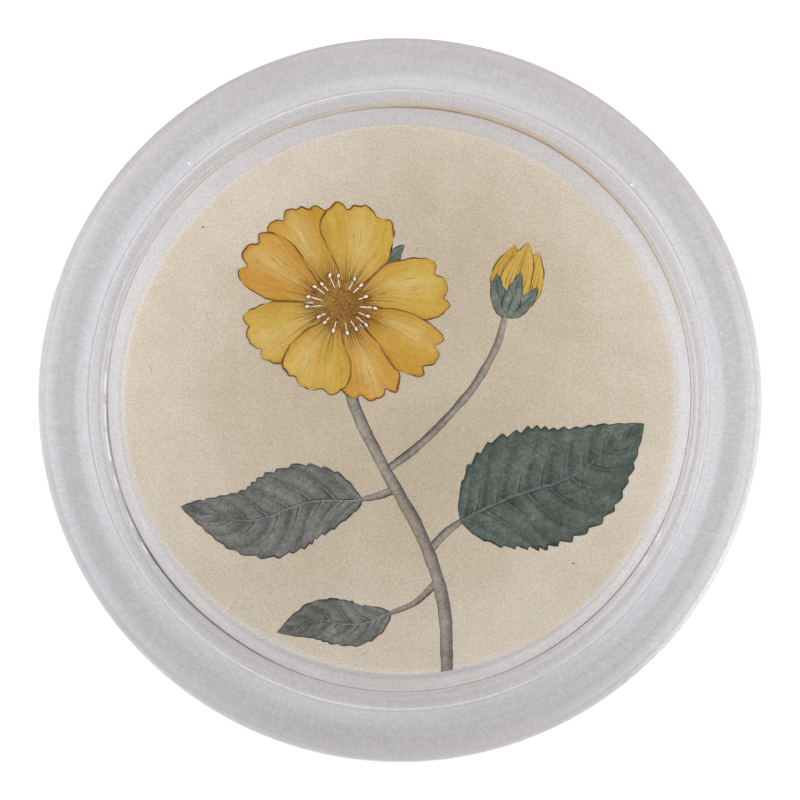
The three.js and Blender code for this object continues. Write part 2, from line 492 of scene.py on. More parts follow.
def clear_glass():
    """Clear glass with painted light and shade: marked lines darken it or turn it partly white."""
    look = Look("clear_pressed_glass")
    point = look.point()
    drift = look.noise(point, 55, 2)
    brown = look.number("brown")
    x, y, z = look.split(point)
    radius = look.math("SQRT", look.total((x, x), (y, y)))
    rings = look.add("ShaderNodeCombineXYZ", {0: look.times(radius, 1100.0), 1: x, 2: y}).outputs[0]
    rings = look.noise(look.stretched(rings, (1.0, 22.0, 22.0)), 1.0, 3, 0.6)
    rings = look.times(rings, look.span(radius, 41.5 * MM, 45.0 * MM))
    upper = look.span(z, 2.6 * MM, 3.2 * MM)
    above = look.times(look.noise(point, 2300, 3, 0.75), upper)
    beneath = look.noise(look.stretched(point, (0.5, 0.5, 1.0)), 3200, 3, 0.7)
    beneath = look.times(beneath, look.math("SUBTRACT", 1.0, upper))
    cast = look.total((rings, 0.22), (above, 0.85), (beneath, 0.22))
    tone = look.mix(look.span(cast, -0.07, 0.07), DARK_GRAIN, WHITE)
    # Painted shade: the outer slope is darkened, except on its clear sides.
    outer_shade_tone = look.mix(brown, colour(230, 229, 231), colour(224, 212, 196))
    tone = look.mix(look.number("outer"), tone, outer_shade_tone)
    # Painted shade on the bead just outside the seat's edge, tinted brown or grey.
    bead_shade = look.number("bead_shade")
    bead_shade_tone = look.mix(brown, colour(200, 201, 205), colour(236, 190, 10))
    tone = look.mix(look.times(bead_shade, 0.54), tone, bead_shade_tone)
    # Painted shade: dark lines along the seat's edge and in the valley, and a darker outer edge.
    edge = look.number("seat_edge")
    painted_shade = look.total((edge, 0.70), (look.number("shaded"), 0.24), look.number("side_shade"))
    tone = look.mix(painted_shade, tone, look.mix(brown, colour(60, 62, 65), colour(122, 84, 32)))
    # Painted glints: white flecks by the seat's edge, with normals turned up to catch the lamps.
    painted_glints = look.number("painted_glints")
    tone = look.mix(painted_glints, tone, WHITE)
    # Painted highlight along the crease, painted glints and painted sheen: there the glass turns partly
    # white and catches the lamps.
    crease_highlight = (look.number("crease_line"), 0.20)
    scattering = look.total(crease_highlight, (painted_glints, 1.0), (edge, 0.08), look.number("painted_sheen"))
    glass = look.surface(
        Base_Color=tone,
        Roughness=look.total((bead_shade, 0.15), (look.number("bead"), 0.30)),
        IOR=1.5,
        Transmission_Weight=look.math("SUBTRACT", 1.0, scattering, clamp=True),
        Normal=look.mix(painted_glints, look.bump(drift, 0.25, 0.6), (0.0, 0.0, 1.0, 1.0)),
    )
    below = look.span(z, (GLASS_UNDERSIDE + 0.4) * MM, (GLASS_UNDERSIDE + 0.1) * MM)
    dimming = look.mix(below, THROUGH_TOP, THROUGH_UNDERSIDE)
    light = look.add("ShaderNodeBsdfTransparent", {"Color": dimming}).outputs[0]
    is_shadow = look.add("ShaderNodeLightPath").outputs["Is Shadow Ray"]
    both = look.add("ShaderNodeMixShader", {0: is_shadow, 1: glass, 2: light}).outputs[0]
    return look.done(both)


def make_glass():
    vertices, faces = turned(glass_section(), TURN_STEPS, casting_waves)
    glass = add_object("pressed_glass", vertices, faces)
    paint_light_on_glass(glass, len(vertices))
    dress(glass, clear_glass(), "glass_body")


def flaw_look(name, cover):
    """The whitish look of a scratch, which covers only part of the light, or of a bubble, where the white is
    a painted reflection.
    """
    look = Look(name)
    tone = look.mix(look.noise(look.point(), 5000, 2), colour(236, 238, 242), colour(255, 255, 255))
    return look.done(look.surface(Base_Color=tone, Roughness=0.5, Alpha=cover))


# Flaws: air seeds, each ((x, y, z), radius), and the routes of two faint scratches over the rim.
AIR_SEEDS = (
    ((-32.2, 36.1, 6.4), 0.23),
    ((35.2, 32.6, 7.0), 0.30),
    ((48.6, 10.2, 7.6), 0.16),
    ((-47.6, -21.5, 6.6), 0.13),
    ((12.6, -49.2, 6.2), 0.12),
)
SCRATCHES = (
    ((42.7, -19.9), (44.8, -19.8), (47.0, -20.4), (48.2, -20.6), (49.8, -20.3)),
    ((52.3, 9.0), (53.2, 9.15), (54.2, 9.1)),
)
SCRATCH_WIDTH = 0.14
SCRATCH_STEPS = 60
SCRATCH_DEPTH = 0.03  # so far under the glass's top


def make_air_seeds():
    """Small white balls that stand for air seeds, joined into one piece; their white is a painted
    reflection.
    """
    vertices, faces = np.zeros((0, 3)), []
    for centre, radius in AIR_SEEDS:
        section = arc(0, 0, radius, 90, -90, 8)
        section[0, 0] = section[-1, 0] = 0.0
        ball, ball_faces = turned(section, 16)
        faces += [[i + len(vertices) for i in face] for face in ball_faces]
        vertices = np.vstack((vertices, ball + centre))
    dress(add_object("air_seeds", vertices, faces), flaw_look("seed_painted_glint", 1.0))


def make_scratches():
    """Thin strips, pointed at both ends, that follow the top of the glass."""
    top = np.vstack((seat_and_bead(), valley_and_roll(), outer_side()[:SHOULDER_STEPS]))
    vertices, faces = np.zeros((0, 3)), []
    for route in SCRATCHES:
        line = spline(route, SCRATCH_STEPS)
        half = 0.5 * SCRATCH_WIDTH * np.sin(np.linspace(0.1, math.pi - 0.1, SCRATCH_STEPS))[:, None]
        for side in (-1, 1):
            edge = line + side * half * normals(line)
            height = np.interp(np.hypot(*edge.T), *top.T) - SCRATCH_DEPTH
            vertices = np.vstack((vertices, np.column_stack((edge, height))))
        right = len(vertices) - SCRATCH_STEPS
        left = right - SCRATCH_STEPS
        faces += [(right + i, right + i + 1, left + i + 1, left + i) for i in range(SCRATCH_STEPS - 1)]
    scratches = add_object("rim_scratches", vertices, faces)
    dress(scratches, flaw_look("scratch_white", 0.18))


# ---- The sheets behind the glass ----


def print_radius(angle):
    """The print's hand-cut outline."""
    along = np.cos(angle - math.radians(PRINT_TURN)) / (PRINT_LENGTH / 2)
    across = np.sin(angle - math.radians(PRINT_TURN)) / (PRINT_WIDTH / 2)
    wave = SCISSOR_WAVE * np.cos(3 * (angle - math.radians(SCISSOR_TURN)))
    return 1 / np.hypot(along, across) + wave


def sheet_radius(angle):
    """The white sheet's outline, cut by hand to follow the wall's foot."""
    return SHEET_RADIUS + 0.85 * foot_wave(angle) + 0.03 * np.sin(9 * angle)


# Tints of the paper, where white is 1: a painted shade beside the print's step, and painted light.
STEP_SHADE = (0.85, 0.85, 0.855, 1.0)
PAINTED_LIGHT_TINT = (1.13, 1.13, 1.13, 1.0)
ROSY, GREENISH = (1.0, 0.97, 0.95, 1.0), (0.97, 1.0, 0.97, 1.0)
DARK_FIBRE, PALE_FIBRE = (0.86, 0.86, 0.83, 1.0), (1.11, 1.11, 1.14, 1.0)


def paper_look(name, base, blotch, laid_strength, second_colour, toned):
    """Matt paper with fibres, faint laid lines and the uneven tone of age.

    Where the mesh marks a second tone, it takes the second colour. Where it marks a step shade it
    takes a painted shade, and where it marks painted light it is lighter. Towards the middle it has
    darkened by the share of toned, its colour there.
    """
    look = Look(name)
    point = look.point()
    clouds = look.noise(point, 45, 3, 0.55)
    mottle = look.noise(point, 240, 4, 0.6)
    grain = look.noise(point, 4200, 2, 0.6)
    laid = look.noise(look.stretched(point, (1300, 25, 1)), 1.0, 1)
    chain = look.noise(look.stretched(point, (30, 420, 1)), 1.0, 1)
    age = look.total((clouds, 0.9), (mottle, 0.5), (laid, laid_strength))
    age = look.total(age, (chain, 0.5 * laid_strength))
    tone = look.mix(look.span(age, -0.45, 0.55), base, blotch)
    patchy = look.total(1.0, (mottle, 0.8), (grain, 0.5))
    tone = look.mix(look.math("MULTIPLY", look.number("second_tone"), patchy, clamp=True), tone, second_colour)
    tone = look.tinted(tone, STEP_SHADE, look.number("step_shade"))
    # Painted light: the paper is lighter where the mesh marks it.
    tone = look.tinted(tone, PAINTED_LIGHT_TINT, look.number("painted_light"))
    x, y, _ = look.split(look.stretched(point, (2 / (PRINT_LENGTH * MM),) * 3))
    middle = look.total(1.0, (look.times(x, x), -1.15), (look.times(y, y), -0.85))
    middle = look.total(middle, (look.times(x, y), 0.45))
    tone = look.tinted(tone, toned, look.span(middle, -0.15, 1.15, -0.15, 1.15))
    hue = look.mix(look.span(look.noise(point, 900, 3, 0.7), -0.2, 0.2), ROSY, GREENISH)
    tone = look.tinted(tone, hue)
    speck = look.mix(look.span(grain, -0.25, 0.25), DARK_FIBRE, PALE_FIBRE)
    tone = look.tinted(tone, speck)
    height = look.total((grain, 0.6), (laid, laid_strength), (mottle, 0.4))
    return look.done(look.surface(
        Base_Color=tone,
        Roughness=0.9,
        Specular_IOR_Level=0.15,
        Normal=look.bump(height, 0.02, 0.25),
    ))


def disc_sheet(name, rings, bottom):
    """A thin closed disc. rings holds, from the middle out, the upper face's radii and height."""
    sheet = [
        np.column_stack((polar(radius, ring_angles()), np.full(TURN_STEPS, height)))
        for radius, height in (*rings, (rings[-1][0], bottom))
    ]
    return add_object(name, *closed(np.stack(sheet), rings[0][1], bottom))


def mark_rings(obj, name, *rows):
    """A number at each vertex of a disc sheet, given ring by ring, each as one value or a curve."""
    values = np.stack([np.broadcast_to(row, TURN_STEPS) for row in rows])
    mark(obj, name, np.append(values, (values[0, 0], values[-1, 0])))


def ring_angles():
    return np.linspace(0, 2 * np.pi, TURN_STEPS, endpoint=False)


def make_backing():
    """The white sheet is glued to the glass outside the print, and steps down behind it."""
    turn = ring_angles()
    degrees = np.degrees(turn)
    printed = print_radius(turn)
    margin = sheet_radius(turn) - printed
    behind = SHEET_TOP - 0.02
    face = PAPER_FACE - 0.004
    gaps = (0.03, 0.12, 0.22, 0.34, 0.48, 0.64, 0.84, 1.1)
    shares = (0.6, 0.8, 0.98, 1.0)
    rings = [(0.6 * printed, behind), (printed - 0.03, behind), (printed + 0.01, face)]
    rings += [(printed + gap, face) for gap in gaps]
    rings += [(printed + share * margin, face) for share in shares]
    sheet = disc_sheet("white_backing_sheet", rings, PAD_TOP)
    # The card's second tone: it is darker towards the top and the bottom of the view.
    second_tone = 0.59 - waves(turn, (2, 0.43, -0.33), (1, 0.13, -0.63))
    second_tone = second_tone + round_rim(degrees, (-0.20, 228, 30), (0.15, 345, 40))
    mark_rings(sheet, "second_tone", *[second_tone] * (len(rings) + 1))
    depth = 0.50 - 0.46 * np.sin(turn)
    depth = depth + round_rim(degrees, (0.25, 180, 20), (0.20, 236, 20), (0.25, 295, 25), (-0.25, 345, 15))
    middle = 0.30 + round_rim(degrees, (0.18, 255, 45), (-0.14, 315, 25))
    width = 0.20 + round_rim(degrees, (0.16, 262, 35))
    shade = [depth * bell(gap, middle, width) for gap in gaps]
    mark_rings(sheet, "step_shade", 0, 0, 0, *shade, *[0] * (len(shares) + 1))
    look = paper_look("white_card", colour(212, 208, 211), colour(205, 201, 204), 0.0,
                      colour(183, 180, 182), WHITE)
    dress(sheet, look, "backing_sheet")


def make_paper():
    """The printed paper, worn and faded in a narrow band along its cut edge, with painted light on its left
    side.
    """
    printed = print_radius(ring_angles())
    depths = (3.0, 1.8, 1.2, 0.9, 0.7, 0.5, 0.35, 0.2, 0.06)
    rings = [(share * printed, PAPER_FACE) for share in (0.3, 0.6, 0.85)]
    rings += [(printed - depth, PAPER_FACE) for depth in depths]
    rings.append((printed, PAPER_FACE - 0.004))
    sheet = disc_sheet("print_paper", rings, SHEET_TOP)
    degrees = np.degrees(ring_angles())
    reach = 1.1 + round_rim(degrees, (0.35, 5, 35), (0.20, 250, 30), (-0.25, 97, 25), (-0.25, 180, 30))
    uneven = 0.78 + 0.15 * ripple(degrees / 360, 23, 5) + round_rim(
        degrees, (0.15, 318, 35), (-0.70, 300, 16), (-0.55, 45, 17), (-0.35, 83, 14), (-0.45, 106, 12)
    )
    uneven = np.clip(uneven, 0, 1)
    second_tone = [uneven * np.clip(1 - depth / reach, 0, 1) ** 1.3 for depth in depths]
    mark_rings(sheet, "second_tone", 0, 0, 0, *second_tone, uneven, uneven)
    # Painted light on the print's left side, strongest near its cut edge.
    side = round_rim(degrees, (1, 165, 24))
    painted_light = [side * np.clip(1 - depth / 3.2, 0, 1) ** 0.35 for depth in depths]
    mark_rings(sheet, "painted_light", 0, 0, 0, *painted_light, side, side)
    look = paper_look("aged_cream_paper", colour(200, 190, 178), colour(181, 170, 151), 0.15,
                      colour(204, 200, 194), (0.81, 0.783, 0.722, 1.0))
    dress(sheet, look, "printed_paper")


def make_felt():
    look = Look("brown_felt")
    point = look.point()
    fibres = look.noise(point, 1700, 5, 0.75)
    matted = look.noise(point, 260, 3, 0.6)
    depth = look.span(look.total(fibres, (matted, 0.6)), -0.3, 0.3)
    tone = look.mix(depth, colour(84, 72, 56), colour(142, 124, 100))
    felt = look.done(look.surface(
        Base_Color=tone,
        Roughness=1.0,
        Sheen_Weight=0.35,
        Sheen_Roughness=0.6,
        Specular_IOR_Level=0.1,
        Normal=look.bump(look.total(fibres, (matted, 0.5)), 0.25, 1.0),
    ))
    inset = PAD_RADIUS - PAD_EDGE
    section = np.vstack((
        [(0, PAD_TOP), (30, PAD_TOP)],
        arc(inset, PAD_TOP - PAD_EDGE, PAD_EDGE, 90, 0, 6),
        arc(inset, PAD_EDGE, PAD_EDGE, 0, -90, 6),
        [(r, 0) for r in (42, 38, 34, 30, 26, 22, 18, 14, 10, 6, 3, 0)],
    ))

    def fluff(radius, height, angle):
        wide = 0.05 * ripple(angle / (2 * np.pi) * 40, 5, 1.0) * (radius > 43)
        low = height < 0.2
        rise = 0.02 * (1 + ripple(angle / (2 * np.pi) * 60 + radius, 9, 1.0)) * low
        return np.minimum(wide, 0.0), np.maximum(rise, 0.0)

    pad = add_object("soft_felt_pad", *turned(section, TURN_STEPS, fluff))
    dress(pad, felt, "felt_pad")


# ---- The print: a made-up yellow garden flower in watercolour and ink, in thin layers on the paper ----

PAINT_LIT = 0.80  # a paint's own brightness, as a share of how bright it looks in this light
BARE_EDGE = 0.07  # the paint stops this far inside the paper's cut edge


def paint(red, green, blue):
    """A paint's own linear colour, from the 0 to 255 values that it shows under the glass."""
    return np.array(colour(red, green, blue)[:3]) * PAINT_LIT


LEMON = paint(208, 183, 116)
YELLOW = paint(199, 166, 80)
GOLD = paint(192, 150, 64)
ORANGE = paint(196, 148, 70)
OCHRE = paint(152, 110, 52)
BROWN_INK = paint(118, 80, 42)
UMBER = paint(92, 62, 36)
IVORY = paint(232, 222, 200)
SAGE = paint(108, 117, 106)
LEAF = paint(89, 98, 91)
DEEP_LEAF = paint(64, 73, 71)
SLATE = paint(112, 113, 109)
DEEP_SLATE = paint(80, 82, 82)
PALE_SLATE = paint(136, 135, 128)
TAUPE = paint(154, 144, 131)
DARK_TAUPE = paint(112, 106, 102)
SOOT = paint(52, 54, 54)


def mixed(first, second, share):
    """Two colours mixed, with the second's share at each point."""
    share = np.clip(np.asarray(share, dtype=float), 0, 1)[..., None]
    return first * (1 - share) + second * share


def trimmed(points):
    """Points beyond the print's cut edge are drawn in to it."""
    radius = np.hypot(points[..., 0], points[..., 1])
    edge = print_radius(np.arctan2(points[..., 1], points[..., 0])) - BARE_EDGE
    return points * np.minimum(1, edge / np.maximum(radius, 1))[..., None]


class Paint:
    """Flat shapes in one kind of paint. Each is a grid of points, in rows and columns."""

    def __init__(self):
        self.vertices = []
        self.pigment = []
        self.flow = []
        self.rim = []
        self.faces = []
        self.count = 0

    def lay(self, points, layer, pigment, flow, rim=0.0):
        """flow runs along and across the brush, in millimetres. rim is 1 at a wet edge."""
        rows, columns = points.shape[:2]
        run = points[1, columns // 2] - points[0, columns // 2]
        side = points[0, -1] - points[0, 0]
        index = self.count + np.arange(rows * columns).reshape(rows, columns)
        if run[0] * side[1] - run[1] * side[0] < 0:
            index = index[:, ::-1]
        quads = (index[:-1, :-1], index[1:, :-1], index[1:, 1:], index[:-1, 1:])
        self.faces += np.stack(quads, axis=-1).reshape(-1, 4).tolist()
        height = np.full((rows, columns, 1), PAPER_FACE + LAYER * layer)
        points = trimmed(points)
        self.vertices.append(np.concatenate((points, height), axis=-1).reshape(-1, 3))
        seed = np.full((rows, columns), 17.3 * len(self.pigment))
        flow = [np.broadcast_to(values, (rows, columns)) for values in flow]
        self.flow.append(np.stack((*flow, seed), axis=-1).reshape(-1, 3))
        self.pigment.append(np.broadcast_to(pigment, (rows, columns, 3)).reshape(-1, 3))
        self.rim.append(np.broadcast_to(rim, (rows, columns)).ravel())
        self.count += rows * columns

    def dry(self, name, look):
        """Makes the shapes into one piece of the print."""
        obj = add_object(name, np.concatenate(self.vertices), self.faces)
        mark(obj, "pigment", np.concatenate(self.pigment))
        mark(obj, "flow", np.concatenate(self.flow))
        mark(obj, "rim", np.concatenate(self.rim))
        dress(obj, look)

    def raised(self, layer):
        """A layer, raised a little further for each stroke."""
        return layer + STROKE_STEP * (len(self.pigment) % STROKE_LEVELS)

    def stroke(self, line, width, layer, first, last=None, seed=0, taper=(0.12, 0.3)):
        """A line of the pen or brush, thin at its ends, that may fade to a second colour."""
        line = respaced(np.asarray(line, dtype=float), 0.2)
        gone = distances(line)
        share = gone / gone[-1]
        ends = np.clip((share + 0.01) / taper[0], 0, 1) * np.clip((1.01 - share) / taper[1], 0, 1)
        half = 0.5 * width * np.clip(ends, 0.05, 1) ** 0.7 * (1 + 0.35 * ripple(gone / 7, seed, 1.0))
        aside = normals(line)
        line = line + aside * (0.35 * width * ripple(gone / 5, seed + 500, 1.0))[:, None]
        columns = np.array([-1.0, 1.0])
        points = line[:, None] + aside[:, None] * (columns * half[:, None])[..., None]
        tone = first if last is None else mixed(first, last, share)[:, None]
        self.lay(points, self.raised(layer), tone, (gone[:, None], columns * width))

    def outline(self, line, rng, cuts, gap, widths, layer, tones, seed):
        """A pen line that stops at a few random cuts, each a gap of so many points."""
        cuts = np.sort(rng.uniform(0.1, 0.9, cuts))
        for number, (start, end) in enumerate(zip((0, *cuts), (*cuts, 1))):
            part = line[int(start * len(line)): int(end * len(line)) - gap]
            if len(part) > 6:
                self.stroke(part, rng.uniform(*widths), layer, *tones, seed + number)

    def dab(self, centre, radii, turn, layer, tone):
        """One touch of the brush: a small oval."""
        angle = np.linspace(0, 2 * np.pi, 13)[None, :]
        out = np.array([0.02, 1.0])[:, None]
        x, y = radii[0] * out * np.cos(angle), radii[1] * out * np.sin(angle)
        c, s = math.cos(turn), math.sin(turn)
        points = np.asarray(centre) + np.stack((c * x - s * y, s * x + c * y), axis=-1)
        self.lay(points, self.raised(layer), tone, (x, y))


def watercolour(name, tint, streaks, pools, granules):
    """Paint that pools at its edge, streaks along the brush and settles in the paper's grain.

    The pigment's colour comes from the mesh. Where more of it settles it is deeper, as it is in
    a glaze, and here and there a little of a second colour, the tint, runs into it.
    """
    look = Look(name)
    point = look.point()
    brush = look.noise(look.stretched(look.attribute("flow"), (0.10, 1.5, 1.0)), 1.0, 3, 0.6)
    pool = look.noise(point, 230, 3, 0.6)
    grain = look.noise(point, 3300, 3, 0.7)
    tooth = look.noise(point, 1250, 2, 0.6)
    edge = look.times(look.number("rim"), look.span(look.noise(point, 420, 2), -0.3, 0.3))
    density = look.total(
        1.0, (brush, streaks), (pool, pools), (grain, granules), (tooth, 0.6 * granules), (edge, 0.30)
    )
    run_in = look.span(look.noise(point, 330, 3, 0.6), -0.05, 0.35, 0.0, 0.5)
    hue = look.mix(run_in, look.attribute("pigment"), tint)
    deeper = look.add("ShaderNodeGamma", {"Color": hue, "Gamma": density}).outputs[0]
    return look.done(look.surface(
        Base_Color=deeper,
        Roughness=0.85,
        Specular_IOR_Level=0.15,
        Normal=look.bump(look.total(grain, (tooth, 0.5)), 0.02, 0.5),
    ))


BLOOM_CENTRE = np.array([-9.0, 14.5])
BLOOM_TILT = math.radians(62)  # the bloom leans back along this direction, so it looks foreshortened
BLOOM_SQUASH = 0.88
PETAL_ROOT = 1.6
DISC_RADIUS = 4.0
DISC_DOTS = 190
ANTHERS = 17


def tilted(points):
    """Points round the bloom's centre, foreshortened along its tilt."""
    axis = polar(1, BLOOM_TILT)
    along = (points @ axis)[..., None]
    return BLOOM_CENTRE + points - (1 - BLOOM_SQUASH) * along * axis


def petal_place(direction, length, spread, bend, seed):
    """Where a petal's points lie, by the share of the way out and the place across, -1 to 1."""

    def place(out, across):
        out, across = np.broadcast_arrays(out, across)
        notches = 0.05 * bell(across, -0.36, 0.11) + 0.06 * bell(across, 0.30, 0.10)
        frayed = 0.018 * ripple(across, seed, 1.6)
        reach = length * (1 - 0.24 * abs(across) ** 4 - notches - frayed * abs(out) ** 6)
        radius = PETAL_ROOT + out * (reach - PETAL_ROOT)
        width = spread * (0.52 + 0.48 * np.sin(np.pi * out / 1.5))
        width = width * (1 + 0.05 * ripple(out + 0.3 * np.sign(across), seed + 3, 0.9))
        angle = np.radians(direction + width * across + bend * out**2)
        return tilted(polar(radius, angle))

    return place


def paint_petal(petals, ink, place, length, layer, body, seed):
    """One petal: its wash, the brush strokes that model it, and its pen outline."""
    rng = np.random.default_rng(seed)
    out = np.linspace(0, 1, 46)[:, None]
    across = np.sin(np.linspace(-np.pi / 2, np.pi / 2, 41))[None, :]
    fold = rng.uniform(-0.35, 0.35)
    tone = mixed(body, LEMON, 0.75 * bell(across, fold, 0.34) * bell(out, 0.66, 0.30))
    tone = mixed(tone, GOLD, 0.55 * bell(abs(across), 1.0, 0.34) + 0.35 * bell(across, fold + 0.5, 0.2))
    tone = mixed(tone, OCHRE, 0.85 * bell(out, 0.0, 0.30) + 0.25 * bell(abs(across), 1.0, 0.12))
    rim = bell(abs(across), 1.0, 0.06) + bell(out, 1.0, 0.03)
    points = place(out, across)
    petals.lay(points, layer, tone, (length * out, 0.38 * length * across), rim)
    for line in np.linspace(-0.82, 0.82, 15):
        start, end = rng.uniform(0.04, 0.16), rng.uniform(0.34, 0.62)
        way = np.linspace(start, end, 24)
        lean = line + 0.05 * rng.normal() + 0.05 * rng.normal() * way
        ink.stroke(place(way, lean), rng.uniform(0.10, 0.24), layer + 1, UMBER,
                   mixed(body, OCHRE, 0.45), seed + int(40 * (line + 1)), (0.1, 0.9))
    for line in np.linspace(-0.7, 0.7, 7):
        way = np.linspace(rng.uniform(0.45, 0.6), rng.uniform(0.80, 0.95), 20)
        lean = line + 0.04 * rng.normal() + 0.04 * way
        ink.stroke(place(way, lean), rng.uniform(0.09, 0.15), layer + 1, mixed(body, OCHRE, 0.35),
                   mixed(body, GOLD, 0.5), seed + int(60 * (line + 1)), (0.5, 0.5))
    left = place(np.linspace(0.12, 1, 60), -1.0)
    tip = place(1.0, np.linspace(-1, 1, 90))
    right = place(np.linspace(1, 0.12, 60), 1.0)
    border = np.vstack((left, tip[1:-1], right))
    ink.outline(border, rng, 4, 2, (0.14, 0.26), layer + 1, (BROWN_INK, None), seed + 90)


def paint_bloom(petals, leaves, ink):
    """Eight broad petals in two ranks round a stippled disc, with sepals showing between them."""
    bodies = (YELLOW, GOLD, YELLOW, ORANGE)
    for rank in range(2):
        for number in range(4):
            layer = 6 + 2 * (4 * rank + number)
            seed = 100 + 10 * number + 70 * rank
            rng = np.random.default_rng(seed)
            direction = 20 + 90 * number + 45 * rank + rng.uniform(-4, 4)
            length = 17.3 + rng.uniform(-1.2, 0.8) - 0.7 * rank
            place = petal_place(direction, length, rng.uniform(24, 28), rng.uniform(-9, 9), seed)
            paint_petal(petals, ink, place, length, layer, bodies[(number + 2 * rank) % 4], seed + 5)
    for direction in (43, 88, 133, 223, 312):
        spine = BLOOM_CENTRE + polar(np.array([6, 10, 13.4]), math.radians(direction))
        sepal = Leaf(spine, 1.5, 0, direction)
        sepal.paint(leaves, ink, 4, (SAGE, DEEP_LEAF, PALE_SLATE), veins=0)
    paint_disc(petals, ink)


def paint_disc(petals, ink):
    """The bloom's domed middle: an ochre ground, dots in their spirals and a ring of anthers."""
    petals.dab(BLOOM_CENTRE, (3.8, 4.3), BLOOM_TILT, 22, mixed(OCHRE, UMBER, 0.35))
    golden_turn = math.pi * (3 - math.sqrt(5))
    rng = np.random.default_rng(77)
    for number in range(DISC_DOTS):
        radius = DISC_RADIUS * math.sqrt((number + 0.5) / DISC_DOTS)
        angle = number * golden_turn
        centre = tilted(polar(radius, angle))
        lit = 0.5 + 0.5 * math.cos(angle - 2.2) * radius / DISC_RADIUS
        tone = mixed(mixed(UMBER, OCHRE, lit + rng.uniform(-0.3, 0.3)), YELLOW, rng.uniform(-0.7, 0.9) * lit)
        size = rng.uniform(0.13, 0.21)
        ink.dab(centre, (size, 0.8 * size), angle, 23, tone)
    for number in range(ANTHERS):
        angle = 2 * math.pi * number / ANTHERS + rng.uniform(-0.12, 0.12)
        radius = rng.uniform(4.1, 5.5)
        centre = tilted(polar(radius, angle))
        ink.stroke([tilted(polar(2.9, angle)), centre], 0.16, 24, IVORY, None, number)
        ink.dab(centre, (0.52, 0.36), angle + rng.uniform(-0.7, 0.7), 25, BROWN_INK)
        ink.dab(centre, (0.36, 0.22), angle + rng.uniform(-0.4, 0.4), 26, IVORY)


class Leaf:
    """A leaf along a spine, with its points given by the share along it and across, -1 to 1."""

    def __init__(self, spine, half_width, teeth, seed, fullness=0.72):
        self.line = spline(spine, 160)
        self.left = normals(self.line)
        gone = distances(self.line)
        self.length = gone[-1]
        self.shares = gone / gone[-1]
        self.half_width = half_width
        self.teeth = teeth
        self.seed = seed
        self.fullness = fullness

    def place(self, along, across):
        along, across = np.broadcast_arrays(along, across)
        middle = points_at(along, self.shares, self.line)
        aside = points_at(along, self.shares, self.left)
        half = self.half_width * np.clip(np.sin(np.pi * np.clip(along, 0, 1) ** self.fullness), 0, 1) ** 0.9
        half = half * (1 + 0.05 * ripple(along + 0.37 * np.sign(across), self.seed, 0.8))
        if self.teeth:
            saw = (along * self.teeth + 0.3 * np.sign(across)) % 1.0
            bite = np.minimum(saw / 0.8, (1 - saw) / 0.2) - 0.5
            half = half * (1 + 0.085 * bite * abs(across) ** 12)
        return middle + aside * (across * half)[..., None]

    def vein_place(self, start, side, share, lean):
        """A side vein's points, from the midrib out towards the edge."""
        return self.place(start + lean * share**1.25, side * 0.93 * share)

    def paint(self, leaves, ink, layer, tones, veins=9, lean=0.20):
        body, deep, pale = tones
        rows = int(self.length / 0.2)
        along = np.linspace(0.0, 1.0, rows)[:, None]
        across = np.sin(np.linspace(-np.pi / 2, np.pi / 2, 45))[None, :]
        tone = mixed(body, pale, 0.35 * bell(across, 0.45, 0.35) * bell(along, 0.55, 0.5))
        tone = mixed(tone, deep, 0.55 * bell(across, 0.0, 0.14) + 0.25 * bell(abs(across), 1.0, 0.12))
        if veins:
            phase = (along - lean * abs(across) ** 1.25) * (veins + 1) + 0.5
            between = phase - np.floor(phase)
            fading = 1 - 0.75 * abs(across) ** 1.5
            tone = mixed(tone, deep, 0.85 * bell(between, 0.62, 0.16) * fading)
            tone = mixed(tone, pale, 0.32 * bell(between, 0.28, 0.18))
        rim = bell(abs(across), 1.0, 0.05)
        leaves.lay(self.place(along, across), layer, tone,
                   (self.length * along, self.half_width * across), rim)
        self.draw(ink, layer + 1, tones, veins, lean)

    def draw(self, ink, layer, tones, veins, lean):
        """The pen work: midrib, side veins and outline."""
        body, deep, pale = tones
        rng = np.random.default_rng(self.seed + 900)
        way = np.linspace(0, 1, 30)
        ink.stroke(self.place(np.linspace(0, 0.97, 60), 0.0), 0.03 * self.half_width + 0.14, layer,
                   pale, body, self.seed, (0.02, 0.9))
        ink.stroke(self.place(np.linspace(0.02, 0.97, 60), -0.035), 0.13, layer, SOOT, deep,
                   self.seed + 1, (0.05, 0.8))
        for number in range(veins):
            start = (number + 0.5) / (veins + 1)
            for side in (-1, 1):
                end = rng.uniform(0.75, 1.0)
                line = self.vein_place(start + 0.03 * side, side, way * end, lean)
                ink.stroke(line, 0.17, layer, mixed(SOOT, deep, 0.4), body, self.seed + number, (0.04, 0.9))
                line = self.vein_place(start + 0.03 * side - 0.014, side, way * end * 0.9, lean)
                ink.stroke(line, 0.13, layer, pale, body, self.seed + number + 40, (0.1, 0.8))
        for side in (-1, 1):
            edge = self.place(np.linspace(0.0, 1.0, int(self.length / 0.18)), side)
            ink.outline(edge, rng, 3, 1, (0.12, 0.22), layer, (SOOT, deep), self.seed + 70 + 10 * side)


# Stems: knots, widths at the start and the end, seed, layer.
STEMS = (
    (((-8.5, 10), (-7.2, 0), (-2.6, -10), (3.2, -20.5), (6.6, -31), (7.2, -43)), (1.5, 1.9), 11, 3),
    (((-2.2, -10.8), (3.5, -6.4), (10.6, 1.2), (14.6, 8), (16.2, 13.6)), (1.1, 1.0), 12, 1),
    (((4.4, -23.0), (6.8, -20.4), (9.6, -18.2)), (1.3, 0.8), 13, 1),
    (((-0.6, -13.6), (-3.4, -14.6), (-6.2, -15.2)), (1.2, 0.7), 14, 1),
    (((5.8, -27.5), (2.4, -30.8), (-1.8, -32.6)), (1.0, 0.6), 15, 1),
)


